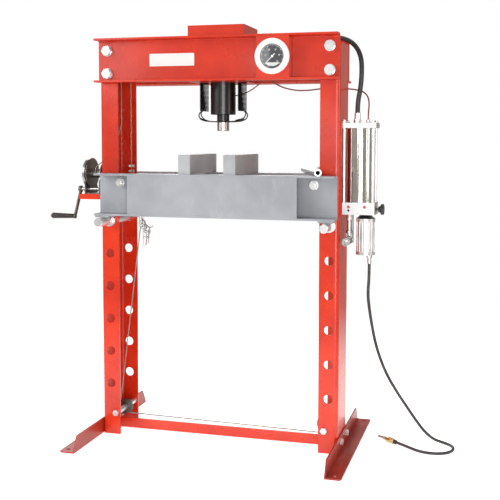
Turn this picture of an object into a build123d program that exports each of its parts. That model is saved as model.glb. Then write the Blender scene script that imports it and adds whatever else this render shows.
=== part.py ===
"""Hydraulic shop press with a hand winch for the bed and an air-driven pump.

Millimetres. X runs across the press, Y from front to back, Z up from the floor. The origin is on
the floor, at the centre of the four anchor holes and straight below the ram.
"""

from math import asin, atan2, cos, degrees, pi, radians, sin, tan

from build123d import *
import os

os.makedirs("parts", exist_ok=True)

# ---- driving dimensions -----------------------------------------------------------------------
# uprights
FRAME_WIDTH = 1025
POST_DEPTH = 200
POST_FLANGE = 80
POST_WALL = 8
POST_BEND = 16
POST_HEIGHT = 1650
HOLE_PITCH = 140
HOLE_COUNT = 7
FIRST_HOLE_Z = 222
PIN_RADIUS = 18
PIN_HOLE_GAP = 1  # on the radius
# crown
CROWN_HEIGHT = 180
CROWN_RISE = 30  # the crown's top above the posts' tops
CROWN_FLANGE = 58
CROWN_WALL = 8
CROWN_BOLT_Z = (38, 132)  # above the crown's lower edge
BOLT_RADIUS = 12
BOLT_FLATS = 36
BOLT_HEAD = 15
WASHER_THICK = 4
WASHER_RADIUS = 22
HOUSING_WIDTH = 240
HOUSING_RISE = 48  # the housing's top above the crown's
HOUSING_WALL = 12
HOUSING_FLOOR = 20
# cylinder and ram
BARREL_RADIUS = 52.5
BARREL_BORE = 40
BARREL_CAP = 25
BARREL_DROP = 132  # the gland's lower face below the crown
GLAND_THICK = 20
RAM_RADIUS = 26
RAM_CLEARANCE = 0.05
PISTON_THICK = 30
NECK_RADIUS = 23.5
NECK_LENGTH = 6
NOSE_RADIUS = 25
NOSE_LENGTH = 36
RAM_SHOW = 26  # black rod that shows below the gland when the ram is up
SPRING_X = 83
SPRING_RADIUS = 19.5
SPRING_WIRE = 4
SPRING_BOTTOM = 119  # below the crown
SPRING_TOP = 110  # above the crown's lower edge
YOKE_WIRE = 2.5
YOKE_BAR = 3.5
YOKE_HALF = 105
# bed
BED_HEIGHT = 175
BED_SHORT = 10  # the bed is this much shorter than the frame is wide
BED_FLANGE = 70
BED_WALL = 8
BED_GAP = 10
PIN_HOLE_INDEX = 5  # the hole that the bed pins are in, from 0 at the bottom
PAD_THICK = 8
PAD_GAP = 0.3
COVER_HALF = 358
COVER_THICK = 6
GUIDE_INSET = 98.5  # from the frame's side
GUIDE_DROP = 38  # guide bolts below the bed's top
GUIDE_RADIUS = 16.5
GUIDE_BOLT_RADIUS = 10
PIN_FRONT = 115  # how far the pin stands out of the post's front
PIN_REAR = 95
COLLAR_RADIUS = 26
COLLAR_THICK = 8
BLOCK_WIDTH = 50
BLOCK_HEIGHT = 80
BLOCK_LENGTH = 345
BLOCK_X = (-111.5, 80)
HANDLE_RADIUS = 14
HANDLE_BORE = 8.8
HANDLE_LENGTH = 530
HANDLE_ANGLE = 19
HANDLE_INSET = 67.5
HANDLE_OVERHANG = 14
STUB_RADIUS = 8.4
STUB_LENGTH = 50
# feet and tie bar
FOOT_LEG = 65
FOOT_WALL = 6
FOOT_LENGTH = 750
FOOT_CHAMFER = 35
ANCHOR_RADIUS = 9
ANCHOR_INSET = 30
FOOT_BOLT_Y = 60
FOOT_BOLT_Z = 40
TIE_LEG = 42
TIE_WALL = 8
# cables and pulleys
CABLE_RADIUS = 2.5
GROOVE_GAP = 0.5
LIFT_INSET = 97.5  # the lifting cables, from the frame's side
TOP_PULLEY_Z = 1560
LOW_PULLEY_Z = 93
LOW_LEFT_INSET = 61.5
LOW_RIGHT_INSET = 56.5
LOW_LEFT_TURN = 27  # a turn is the radius of the cable's centre line round a pulley
LOW_RIGHT_TURN = 42
TOP_LEFT_TURN = 22.5
PULLEY_RIM = 6
PULLEY_WIDTH = 16
AXLE_RADIUS = 8
RUNNING = 0.05
ANCHOR_INSET_X = 138.5
ANCHOR_DROP = 49
# winch on the left post
SHELF_Z = 1022
SHELF_THICK = 8
SHELF_REACH = 112
SHELF_DEPTH = 160
SHELF_LIP = 14
WINCH_Z = 1117
GEAR_OUT = 106.5  # from the frame's side
GEAR_THICK = 10
GEAR_MODULE = 2.6
GEAR_TEETH = 50
PINION_TEETH = 10
PINION_DROP = 68
DRUM_RADIUS = 20
DRUM_FLANGE = 66
SHAFT_RADIUS = 8
CRANK_Y = -60
CRANK_Z = -113
CRANK_THICK = 6
GRIP_LENGTH = 100
# pump on the right post
PUMP_Y = -40
PUMP_BACK = 6
PUMP_Z = 969
PUMP_BLOCK_HEIGHT = 48
PUMP_BLOCK_WIDTH = 132
PUMP_DEPTH = 100
TANK_RADIUS = 50
TANK_WALL = 3
TANK_LENGTH = 294
TOP_PLATE_THICK = 20
ROD_RADIUS = 5
MOTOR_RADIUS = 38
MOTOR_LENGTH = 144
MOTOR_OUT = 90.5  # from the pump's back
MOTOR_FLANGE = 17
FITTING_OUT = 106.5
LEVER_OUT = 26.5
LEVER_PIVOT_Y = -14
PLUNGER_Y = -50
LEVER_Z = 864
SOCKET_BORE = 8.5
SOCKET_LENGTH = 56
SOCKET_START = 60
# gauge
GAUGE_X = 252.5
GAUGE_Z = 91  # above the crown's lower edge
GAUGE_FLANGE = 70
GAUGE_WINDOW = 48.5
GAUGE_CAN = 52
PLATE_HALF = 67.5
PLATE_THICK = 3
# hoses
HOSE_RADIUS = 9.5
LINE_RADIUS = 3
AIR_RADIUS = 6
PORT_RISE = 20  # the oil port above the posts' tops

# ---- places worked out from the dimensions ----------------------------------------------------
post_x = FRAME_WIDTH / 2
post_front = POST_DEPTH / 2
pin_x = post_x - POST_FLANGE / 2
pin_hole_radius = PIN_RADIUS + PIN_HOLE_GAP
pin_z = FIRST_HOLE_Z + PIN_HOLE_INDEX * HOLE_PITCH
crown_z = POST_HEIGHT + CROWN_RISE - CROWN_HEIGHT
housing_top = crown_z + CROWN_HEIGHT + HOUSING_RISE
bed_z = pin_z + PIN_RADIUS + PAD_THICK
bed_top = bed_z + BED_HEIGHT
bed_web = post_front + BED_GAP
bed_front_y = bed_web + BED_FLANGE
gland_z = crown_z - BARREL_DROP
neck_z = gland_z - RAM_SHOW
nose_z = neck_z - NECK_LENGTH - NOSE_LENGTH
crown_web = post_front + CROWN_WALL
pinion_y = -((GEAR_MODULE * (GEAR_TEETH + PINION_TEETH) / 2) ** 2 - PINION_DROP**2) ** 0.5
port_z = POST_HEIGHT + PORT_RISE
sides = (-1, 1)
lift_x = post_x - LIFT_INSET
low_pulley_x = {-1: LOW_LEFT_INSET - post_x, 1: post_x - LOW_RIGHT_INSET}
low_turn = {-1: LOW_LEFT_TURN, 1: LOW_RIGHT_TURN}
right_run_x = low_pulley_x[1] + LOW_RIGHT_TURN
top_turn = {-1: TOP_LEFT_TURN, 1: (right_run_x - lift_x) / 2}
top_pulley_x = {side: side * (lift_x + top_turn[side]) for side in sides}
bed_length = FRAME_WIDTH - BED_SHORT
guide_x = post_x - GUIDE_INSET
anchor_x = ANCHOR_INSET_X - post_x
gear_x = -post_x - GEAR_OUT
pump_face = post_x + PUMP_BACK
motor_x = pump_face + MOTOR_OUT
fitting_x = pump_face + FITTING_OUT
lever_x = pump_face + LEVER_OUT


def finish(piece, name):
    """Label a finished piece and write it as its own file."""
    piece.part.label = name
    export_step(piece.part, f"parts/{name}.step")


def channel(plane, depth, flange, wall, bend, length):
    """A channel whose web lies on the plane's Y axis and whose flanges run along its X axis."""
    with BuildSketch(plane) as section:
        Rectangle(flange, depth, align=(Align.MIN, Align.CENTER))
        with Locations((wall, 0)):
            Rectangle(flange, depth - 2 * wall, align=(Align.MIN, Align.CENTER), mode=Mode.SUBTRACT)
        fillet(section.vertices().group_by(Axis.X)[1], bend - wall)
        fillet(section.vertices().group_by(Axis.X)[0], bend)
    extrude(section.sketch, amount=length)


def along_y(x, y, z):
    """A place whose own Z axis runs to the back of the press."""
    return Location((x, y, z), (-90, 0, 0))


def along_x(x, y, z):
    """A place whose own Z axis runs to the right."""
    return Location((x, y, z), (0, 90, 0))


def rod(place, radius, length, mode=Mode.ADD):
    """A round bar that starts at a place and runs along its Z axis."""
    with Locations(place):
        Cylinder(radius, length, align=(Align.CENTER, Align.CENTER, Align.MIN), mode=mode)


def hexagon(place, flats, length):
    """A hexagonal head or nut that starts at a place and runs along its Z axis."""
    with BuildSketch(Plane(place)) as outline:
        RegularPolygon(flats / 2, 6, major_radius=False)
    extrude(outline.sketch, amount=length)


def block(x, y, z, mode=Mode.ADD):
    """A plain block between low and high limits on each axis."""
    with Locations((x[0], y[0], z[0])):
        Box(x[1] - x[0], y[1] - y[0], z[1] - z[0], align=(Align.MIN,) * 3, mode=mode)


def corner_radii(points):
    """The largest fillet that each corner of a route has room for."""
    spots = [Vector(*p) for p in points]
    radii = []
    for before, here, after in zip(spots, spots[1:], spots[2:]):
        run = min((here - before).length, (after - here).length)
        turn = (here - before).get_angle(after - here)
        radii.append(0.45 * run / tan(radians(turn) / 2))
    return radii


def hose(points, radius, name):
    """A hose along straight runs joined by tangent arcs."""
    radii = corner_radii(points)
    with BuildPart() as tube:
        with BuildLine() as route:
            FilletPolyline(*points, radius=radii)
        length = route.wires()[0].length
        with BuildSketch(Plane(origin=points[0], z_dir=Vector(*points[1]) - Vector(*points[0]))):
            Circle(radius)
        sweep(path=route.wires()[0])
    tightest = min(radii) / (2 * radius)
    share = tube.part.volume / (pi * radius**2 * length)
    print(f"{name}: {length:.0f} long, tightest arc {tightest:.1f} diameters, volume share {share:.4f}")
    print("   radii", [round(r) for r in radii])
    return tube


# ---- uprights ---------------------------------------------------------------------------------
hole_heights = [FIRST_HOLE_Z + HOLE_PITCH * i for i in range(HOLE_COUNT)]
for side, name in zip(sides, ("post_left", "post_right")):
    with BuildPart() as post:
        plane = Plane(origin=(side * post_x, 0, 0), x_dir=(-side, 0, 0), z_dir=(0, 0, 1))
        channel(plane, POST_DEPTH, POST_FLANGE, POST_WALL, POST_BEND, POST_HEIGHT)
        for z in hole_heights:
            rod(along_y(side * pin_x, -POST_DEPTH, z), pin_hole_radius, 2 * POST_DEPTH, Mode.SUBTRACT)
        for z in CROWN_BOLT_Z:
            place = along_y(side * pin_x, -POST_DEPTH, crown_z + z)
            rod(place, BOLT_RADIUS + 0.5, 2 * POST_DEPTH, Mode.SUBTRACT)
        place = along_y(low_pulley_x[side], -POST_DEPTH, LOW_PULLEY_Z)
        rod(place, AXLE_RADIUS + 0.5, 2 * POST_DEPTH, Mode.SUBTRACT)
        for y in (-FOOT_BOLT_Y, FOOT_BOLT_Y):
            place = along_x(side * post_x - 20, y, FOOT_BOLT_Z)
            rod(place, AXLE_RADIUS + 0.5, 40, Mode.SUBTRACT)
        if side < 0:
            block((-post_x - 1, -post_x + POST_WALL + 1), (-14, 14), (1165, 1215), Mode.SUBTRACT)
    finish(post, name)

# ---- crown ------------------------------------------------------------------------------------
crown_mid = crown_z + CROWN_HEIGHT / 2
for side, name in zip(sides, ("crown_front", "crown_rear")):
    with BuildPart() as crown:
        plane = Plane(origin=(-post_x, side * post_front, crown_mid), x_dir=(0, side, 0), z_dir=(1, 0, 0))
        channel(plane, CROWN_HEIGHT, CROWN_FLANGE, CROWN_WALL, POST_BEND - 2, FRAME_WIDTH)
        for x in (-pin_x, pin_x):
            for z in CROWN_BOLT_Z:
                place = along_y(x, side * post_front - 20, crown_z + z)
                rod(place, BOLT_RADIUS + 0.5, 40, Mode.SUBTRACT)
    finish(crown, name)

with BuildPart() as frame_bolts:
    for side in sides:
        for x in (-pin_x, pin_x):
            for z in CROWN_BOLT_Z:
                face = Location((x, side * crown_web, crown_z + z), (-90 * side, 0, 0))
                rod(face, WASHER_RADIUS, WASHER_THICK)
                head = face * Location((0, 0, WASHER_THICK))
                hexagon(head, BOLT_FLATS, BOLT_HEAD)
                grip = CROWN_WALL + POST_WALL
                rod(face * Location((0, 0, -grip - 28)), BOLT_RADIUS, grip + 29)
                hexagon(face * Location((0, 0, -grip - 22)), BOLT_FLATS, 22)
    for side in sides:
        for y in (-FOOT_BOLT_Y, FOOT_BOLT_Y):
            face = Location((side * (post_x + FOOT_WALL), y, FOOT_BOLT_Z), (0, 90 * side, 0))
            hexagon(face, 24, 10)
            grip = FOOT_WALL + POST_WALL
            rod(face * Location((0, 0, -grip - 17)), AXLE_RADIUS, grip + 18)
            hexagon(face * Location((0, 0, -grip - 13)), 24, 13)
finish(frame_bolts, "frame_bolts")

with BuildPart() as ram_housing:
    width, depth = HOUSING_WIDTH / 2, post_front
    block((-width, width), (-depth, depth), (crown_z, housing_top))
    inner = width - HOUSING_WALL
    cavity = (crown_z + HOUSING_FLOOR, housing_top - HOUSING_WALL)
    block((-inner, inner), (HOUSING_WALL - depth, depth - HOUSING_WALL), cavity, Mode.SUBTRACT)
    rod(Location((0, 0, crown_z - 1)), BARREL_RADIUS + 0.1, HOUSING_FLOOR + 2, Mode.SUBTRACT)
    rod(along_x(0, 0, port_z), 14, HOUSING_WIDTH, Mode.SUBTRACT)
    rod(along_x(0, 30, crown_z + 40), 5, HOUSING_WIDTH, Mode.SUBTRACT)
    for x in (-SPRING_X, SPRING_X):
        rod(Location((x, 0, crown_z - 1)), SPRING_RADIUS + 3, HOUSING_FLOOR + 2, Mode.SUBTRACT)
finish(ram_housing, "ram_housing")

with BuildPart() as name_plate:
    block((-284, -89), (-crown_web - 1.5, -crown_web), (crown_z + 65, crown_z + 116))
    fillet(name_plate.edges().filter_by(Axis.Y), 2)
finish(name_plate, "name_plate")

# ---- cylinder ---------------------------------------------------------------------------------
barrel_top = housing_top - HOUSING_WALL
with BuildPart() as cylinder_barrel:
    rod(Location((0, 0, gland_z + GLAND_THICK)), BARREL_RADIUS, barrel_top - gland_z - GLAND_THICK)
    collar_z = crown_z + HOUSING_FLOOR
    rod(Location((0, 0, collar_z)), BARREL_RADIUS + 7, 18)
    bore_z = gland_z + GLAND_THICK - 1
    rod(Location((0, 0, bore_z)), BARREL_BORE, barrel_top - BARREL_CAP - bore_z, Mode.SUBTRACT)
    rod(along_x(0, 0, port_z), 6, 60, Mode.SUBTRACT)
    rod(along_x(BARREL_RADIUS - 2, 0, port_z), 9, 10, Mode.SUBTRACT)
    chamfer(cylinder_barrel.edges().group_by(Axis.Z)[-1], 2)
finish(cylinder_barrel, "cylinder_barrel")

with BuildPart() as cylinder_gland:
    rod(Location((0, 0, gland_z)), BARREL_RADIUS, GLAND_THICK)
    rod(Location((0, 0, gland_z + GLAND_THICK)), BARREL_BORE - 0.1, 14)
    rod(Location((0, 0, gland_z - 1)), RAM_RADIUS + RAM_CLEARANCE, GLAND_THICK + 20, Mode.SUBTRACT)
    chamfer(cylinder_gland.edges().group_by(Axis.Z)[0].sort_by(SortBy.RADIUS)[-1], 2)
finish(cylinder_gland, "cylinder_gland")

piston_z = port_z - 14 - PISTON_THICK
with BuildPart() as ram:
    rod(Location((0, 0, neck_z)), RAM_RADIUS, piston_z - neck_z)
    rod(Location((0, 0, piston_z)), BARREL_BORE - RAM_CLEARANCE, PISTON_THICK)
    rod(Location((0, 0, neck_z - NECK_LENGTH)), NECK_RADIUS, NECK_LENGTH)
    rod(Location((0, 0, neck_z - NECK_LENGTH - 1)), 12.2, 32, Mode.SUBTRACT)
finish(ram, "ram")

with BuildPart() as ram_nose:
    rod(Location((0, 0, nose_z)), NOSE_RADIUS, NOSE_LENGTH)
    rod(Location((0, 0, nose_z + NOSE_LENGTH)), 12, 30)
    chamfer(ram_nose.edges().group_by(Axis.Z)[0], 2)
finish(ram_nose, "ram_nose")

spring_z = crown_z - SPRING_BOTTOM
with BuildPart() as return_springs:
    for x in (-SPRING_X, SPRING_X):
        place = Location((x, 0, spring_z))
        rod(place, SPRING_RADIUS, SPRING_BOTTOM + SPRING_TOP)
        rod(place, SPRING_RADIUS - SPRING_WIRE, SPRING_BOTTOM + SPRING_TOP, Mode.SUBTRACT)
finish(return_springs, "return_springs")

# a wire loop in the ram's neck, with a cross bar and a hook for each spring
yoke_z = neck_z - NECK_LENGTH / 2
loop_half = NECK_RADIUS + YOKE_WIRE
with BuildPart() as return_yoke:
    straight = YOKE_HALF - loop_half
    for side in sides:
        rod(along_x(-straight, side * loop_half, yoke_z), YOKE_WIRE, 2 * straight)
        with BuildSketch(Plane(origin=(side * straight, -side * loop_half, yoke_z), z_dir=(side, 0, 0))):
            Circle(YOKE_WIRE)
        revolve(axis=Axis((side * straight, 0, 0), (0, 0, 1)), revolution_arc=180)
    for x in (-SPRING_X, SPRING_X):
        rod(along_y(x, -loop_half - 3, yoke_z), YOKE_BAR, 2 * loop_half + 6)
        rod(Location((x, 0, yoke_z)), YOKE_BAR, spring_z - yoke_z)
        rod(Location((x, 0, spring_z - 4)), SPRING_RADIUS - SPRING_WIRE - 0.5, 4)
finish(return_yoke, "return_yoke")

# ---- pressure gauge ---------------------------------------------------------------------------
gauge_z = crown_z + GAUGE_Z
plate_y = -post_front - CROWN_FLANGE - 2
with BuildPart() as gauge_bracket:
    x_span = (GAUGE_X - PLATE_HALF, GAUGE_X + PLATE_HALF)
    z_span = (crown_z + CROWN_WALL, crown_z + CROWN_HEIGHT - CROWN_WALL)
    block(x_span, (plate_y, -crown_web - POST_BEND / 2), z_span)
    inside = (x_span[0] + PLATE_THICK, x_span[1] - PLATE_THICK)
    block(inside, (plate_y + PLATE_THICK, -crown_web + 1), (z_span[0] - 1, z_span[1] + 1), Mode.SUBTRACT)
    rod(along_y(GAUGE_X, plate_y - 1, gauge_z), GAUGE_CAN + 0.4, PLATE_THICK + 2, Mode.SUBTRACT)
finish(gauge_bracket, "gauge_bracket")

with BuildPart() as gauge_case:
    rod(along_y(GAUGE_X, plate_y - 8, gauge_z), GAUGE_FLANGE, 8)
    rod(along_y(GAUGE_X, plate_y, gauge_z), GAUGE_CAN, 44)
    chamfer(gauge_case.edges().group_by(Axis.Y)[0], 2)
    rod(along_y(GAUGE_X, plate_y - 9, gauge_z), GAUGE_WINDOW, 11, Mode.SUBTRACT)
finish(gauge_case, "gauge_case")

with BuildPart() as gauge_dial:
    rod(along_y(GAUGE_X, plate_y, gauge_z), GAUGE_WINDOW, 2)
finish(gauge_dial, "gauge_dial")

# the needle points down and to the left at zero, and sweeps clockwise
needle_plane = Plane(origin=(GAUGE_X, plate_y - 1, gauge_z), x_dir=(-1, 0, -1), z_dir=(0, -1, 0))
with BuildPart() as gauge_needle:
    with BuildSketch(needle_plane):
        with BuildLine():
            Polyline((-14, -2), (40, -0.7), (40, 0.7), (-14, 2), close=True)
        make_face()
        Circle(5)
    extrude(amount=1.2)
finish(gauge_needle, "gauge_needle")

# ---- feet and tie bar -------------------------------------------------------------------------
for side, name in zip(sides, ("foot_left", "foot_right")):
    with BuildPart() as foot:
        upright = Plane(origin=(side * post_x, 0, 0), x_dir=(0, side, 0), z_dir=(side, 0, 0))
        with BuildSketch(upright):
            with BuildLine():
                half, cut = FOOT_LENGTH / 2, FOOT_CHAMFER
                Polyline(
                    (-half, 0), (half, 0), (half, FOOT_WALL), (half - cut, FOOT_LEG),
                    (cut - half, FOOT_LEG), (-half, FOOT_WALL), close=True,
                )
            make_face()
        extrude(amount=FOOT_WALL)
        with BuildSketch(Plane.XY):
            with Locations((side * (post_x + FOOT_LEG / 2), 0)):
                Rectangle(FOOT_LEG, FOOT_LENGTH)
        extrude(amount=FOOT_WALL)
        outer = foot.edges().filter_by(Axis.Z).sort_by(lambda e: side * e.center().X)[-2:]
        chamfer(outer, 8)
        for y in (-half + ANCHOR_INSET, half - ANCHOR_INSET):
            place = Location((side * (post_x + FOOT_LEG - 28), y, -1))
            rod(place, ANCHOR_RADIUS, FOOT_WALL + 2, Mode.SUBTRACT)
        for y in (-FOOT_BOLT_Y, FOOT_BOLT_Y):
            place = along_x(side * post_x - 20, y, FOOT_BOLT_Z)
            rod(place, AXLE_RADIUS + 0.5, 40, Mode.SUBTRACT)
    finish(foot, name)

with BuildPart() as tie_bar:
    reach = post_x - POST_WALL
    block((-reach, reach), (-10, TIE_LEG - 10), (3, 3 + TIE_WALL))
    block((-reach, reach), (-10, TIE_WALL - 10), (3, 3 + TIE_LEG))
finish(tie_bar, "tie_bar")

# ---- bed --------------------------------------------------------------------------------------
bed_mid = bed_z + BED_HEIGHT / 2
guide_z = bed_top - GUIDE_DROP
for side, name in zip(sides, ("bed_front", "bed_rear")):
    with BuildPart() as beam:
        plane = Plane(origin=(-bed_length / 2, side * bed_web, bed_mid), x_dir=(0, side, 0), z_dir=(1, 0, 0))
        channel(plane, BED_HEIGHT, BED_FLANGE, BED_WALL, POST_BEND - 2, bed_length)
        for x in (-guide_x, guide_x):
            place = along_y(x, side * bed_web - 20, guide_z)
            rod(place, GUIDE_BOLT_RADIUS + 0.5, 40, Mode.SUBTRACT)
    finish(beam, name)

with BuildPart() as bed_cover_plate:
    z_span = (bed_z + BED_WALL, bed_top - BED_WALL)
    block((-COVER_HALF, COVER_HALF), (-bed_front_y, COVER_THICK - bed_front_y), z_span)
finish(bed_cover_plate, "bed_cover_plate")

with BuildPart() as bed_guides:
    for x in (-guide_x, guide_x):
        rod(along_y(x, -bed_web, guide_z), GUIDE_RADIUS, 2 * bed_web)
        rod(along_y(x, -bed_web - 40, guide_z), GUIDE_BOLT_RADIUS, 2 * bed_web + 80)
        for side in sides:
            face = Location((x, side * (bed_web + BED_WALL), guide_z), (-90 * side, 0, 0))
            rod(face, 18.5, 3)
            hexagon(face * Location((0, 0, 3)), 30, 13)
            rod(face * Location((0, 0, 16 + 6)), 30, 40, Mode.SUBTRACT)
finish(bed_guides, "bed_guides")

with BuildPart() as saddle_pads:
    for x in (-pin_x, pin_x):
        for side in sides:
            y = sorted((side * (bed_web + 2), side * bed_front_y))
            block((x - 30, x + 30), y, (bed_z - PAD_THICK + PAD_GAP, bed_z))
finish(saddle_pads, "saddle_pads")

for side, name in zip(sides, ("bed_pin_left", "bed_pin_right")):
    with BuildPart() as pin:
        front = -post_front - PIN_FRONT
        rod(along_y(side * pin_x, front, pin_z), PIN_RADIUS, PIN_FRONT + POST_DEPTH + PIN_REAR)
        chamfer(pin.edges().filter_by(GeomType.CIRCLE), 2)
        rod(along_y(side * pin_x, -post_front - COLLAR_THICK, pin_z), COLLAR_RADIUS, COLLAR_THICK)
        flat = pin_z + PIN_RADIUS - 0.5
        x_span = (side * pin_x - 40, side * pin_x + 40)
        cut = (-post_front - COLLAR_THICK - 1, -post_front + 1)
        with BuildPart(mode=Mode.PRIVATE) as above:
            block(x_span, cut, (flat, flat + 30))
            rod(along_y(side * pin_x, -post_front - 20, pin_z), PIN_RADIUS, 40, Mode.SUBTRACT)
        add(above.part, mode=Mode.SUBTRACT)
    finish(pin, name)

for x, name in zip(BLOCK_X, ("press_block_left", "press_block_right")):
    with BuildPart() as slab:
        half_x, half_y = BLOCK_WIDTH / 2, BLOCK_LENGTH / 2
        block((x - half_x, x + half_x), (-half_y, half_y), (bed_top, bed_top + BLOCK_HEIGHT))
        chamfer(slab.edges().filter_by(Axis.Y), 2)
    finish(slab, name)

handle_dir = Vector(-sin(radians(HANDLE_ANGLE)), cos(radians(HANDLE_ANGLE)), 0)
handle_start = Vector(post_x - HANDLE_INSET, -bed_front_y - HANDLE_OVERHANG, bed_top + HANDLE_RADIUS)
with BuildPart() as pump_handle:
    with BuildSketch(Plane(origin=handle_start, z_dir=handle_dir)):
        Circle(HANDLE_RADIUS)
        Circle(HANDLE_BORE, mode=Mode.SUBTRACT)
    extrude(amount=HANDLE_LENGTH - STUB_LENGTH)
    stub_start = handle_start + handle_dir * (HANDLE_LENGTH - STUB_LENGTH - 30)
    with BuildSketch(Plane(origin=stub_start, z_dir=handle_dir)):
        Circle(HANDLE_BORE)
    extrude(amount=30)
    with BuildSketch(Plane(origin=stub_start + handle_dir * 30, z_dir=handle_dir)):
        Circle(STUB_RADIUS)
    extrude(amount=STUB_LENGTH)
finish(pump_handle, "pump_handle")

# ---- pulleys and their axles ------------------------------------------------------------------
pulley_half = PULLEY_WIDTH / 2


def pulley(x, z, turn, name):
    """A grooved cable pulley that turns about Y, with a plain bore."""
    groove = turn - CABLE_RADIUS - GROOVE_GAP
    rim = groove + PULLEY_RIM + 2
    with BuildPart() as wheel:
        rod(along_y(x, -pulley_half, z), rim, PULLEY_WIDTH)
        with BuildSketch(Plane(origin=(x, 0, z), x_dir=(1, 0, 0), z_dir=(0, 0, 1))):
            with BuildLine():
                Polyline((groove, -3.2), (rim + 1, -6.5), (rim + 1, 6.5), (groove, 3.2), close=True)
            make_face()
        revolve(axis=Axis((x, 0, z), (0, 1, 0)), mode=Mode.SUBTRACT)
        rod(along_y(x, -pulley_half - 1, z), AXLE_RADIUS + RUNNING, PULLEY_WIDTH + 2, Mode.SUBTRACT)
    finish(wheel, name)


for side, word in zip(sides, ("left", "right")):
    pulley(top_pulley_x[side], TOP_PULLEY_Z, top_turn[side], f"top_pulley_{word}")
    pulley(low_pulley_x[side], LOW_PULLEY_Z, low_turn[side], f"bottom_pulley_{word}")

cheek_y = pulley_half + 1
cheek_thick = 6
with BuildPart() as pulley_axles:
    for side in sides:
        top = cheek_y + cheek_thick
        low_x = low_pulley_x[side]
        rod(along_y(top_pulley_x[side], -top, TOP_PULLEY_Z), AXLE_RADIUS, 2 * top)
        rod(along_y(low_x, -post_front, LOW_PULLEY_Z), AXLE_RADIUS, POST_DEPTH + 16)
        hexagon(along_y(low_x, -post_front - 10, LOW_PULLEY_Z), 24, 10)
        hexagon(along_y(low_x, post_front, LOW_PULLEY_Z), 24, 13)
        for y in sides:
            face = Location((low_x, y * cheek_y, LOW_PULLEY_Z), (-90 * y, 0, 0))
            rod(face, AXLE_RADIUS + 5, post_front - POST_WALL - cheek_y)
finish(pulley_axles, "pulley_axles")

# ---- welded brackets: pulley cheeks, winch shelf and pump back plate ----------------------------
pump_top = PUMP_Z + PUMP_BLOCK_HEIGHT + TANK_LENGTH + TOP_PLATE_THICK
pump_span = (PUMP_Y - PUMP_DEPTH / 2, PUMP_Y + PUMP_DEPTH / 2)
with BuildPart() as welded_brackets:
    for side in sides:
        x = sorted((side * (post_x - POST_WALL), top_pulley_x[side] - side * 14))
        for y in sides:
            y_span = sorted((y * cheek_y, y * (cheek_y + cheek_thick)))
            block(x, y_span, (TOP_PULLEY_Z - 20, TOP_PULLEY_Z + 20))
        place = along_y(top_pulley_x[side], -POST_DEPTH, TOP_PULLEY_Z)
        rod(place, AXLE_RADIUS, 2 * POST_DEPTH, Mode.SUBTRACT)
    shelf_y = SHELF_DEPTH / 2
    block((-post_x - SHELF_REACH, -post_x), (-shelf_y, shelf_y), (SHELF_Z, SHELF_Z + SHELF_THICK))
    for y in sides:
        y_span = sorted((y * shelf_y, y * (shelf_y - 6)))
        block((-post_x - SHELF_REACH, -post_x), y_span, (SHELF_Z - SHELF_LIP, SHELF_Z))
    block((post_x, pump_face), pump_span, (PUMP_Z - 5, pump_top + 5))
finish(welded_brackets, "welded_brackets")


# ---- hand winch -------------------------------------------------------------------------------
def toothed_wheel(x, y, z, teeth, phase, thick):
    """A spur gear in the YZ plane; the phase turns it so that the two wheels mesh."""
    pitch_radius = GEAR_MODULE * teeth / 2
    root, tip = pitch_radius - 1.25 * GEAR_MODULE, pitch_radius + 0.9 * GEAR_MODULE
    plane = Plane(origin=(x, y, z), x_dir=(0, 1, 0), z_dir=(1, 0, 0))
    with BuildSketch(plane) as wheel:
        Circle(root)
        with PolarLocations(0, teeth, start_angle=phase):
            with BuildLine():
                low, mid, high = (share * pi * GEAR_MODULE for share in (0.30, 0.21, 0.11))
                Polyline(
                    (root - 1, -low), (root, -low), (pitch_radius, -mid), (tip, -high),
                    (tip, high), (pitch_radius, mid), (root, low), (root - 1, low), close=True,
                )
            make_face()
    extrude(wheel.sketch, amount=thick)


shelf_top = SHELF_Z + SHELF_THICK
inner_plate = -post_x - 24
outer_plate = gear_x + GEAR_THICK + 6
pinion_z = WINCH_Z - PINION_DROP
mesh_angle = degrees(atan2(-PINION_DROP, pinion_y))
with BuildPart() as winch_frame:
    block((outer_plate - 4, inner_plate), (-62, 62), (shelf_top, shelf_top + 4))
    for x in (outer_plate - 4, inner_plate - 4):
        with BuildSketch(Plane(origin=(x, 0, 0), x_dir=(0, 1, 0), z_dir=(1, 0, 0))):
            with BuildLine():
                Polyline(
                    (-62, shelf_top), (62, shelf_top), (62, shelf_top + 20), (22, WINCH_Z + 18),
                    (-22, WINCH_Z + 18), (-62, shelf_top + 50), close=True,
                )
            make_face()
        extrude(amount=4)
        rod(along_x(x - 1, 0, WINCH_Z), SHAFT_RADIUS + RUNNING, 6, Mode.SUBTRACT)
        rod(along_x(x - 1, pinion_y, pinion_z), SHAFT_RADIUS + RUNNING, 6, Mode.SUBTRACT)
finish(winch_frame, "winch_frame")

with BuildPart() as winch_drum:
    drum_start = outer_plate + 2
    drum_end = inner_plate - 6
    rod(along_x(drum_start, 0, WINCH_Z), DRUM_RADIUS, drum_end - drum_start)
    for x in (drum_start, drum_end - 3):
        radius = DRUM_FLANGE if x == drum_start else DRUM_FLANGE - 22
        rod(along_x(x, 0, WINCH_Z), radius, 3)
    rod(along_x(gear_x - 12, 0, WINCH_Z), SHAFT_RADIUS, -gear_x + 12 + inner_plate + 8)
    hexagon(along_x(inner_plate + 1, 0, WINCH_Z), 24, 10)
finish(winch_drum, "winch_drum")

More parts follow.
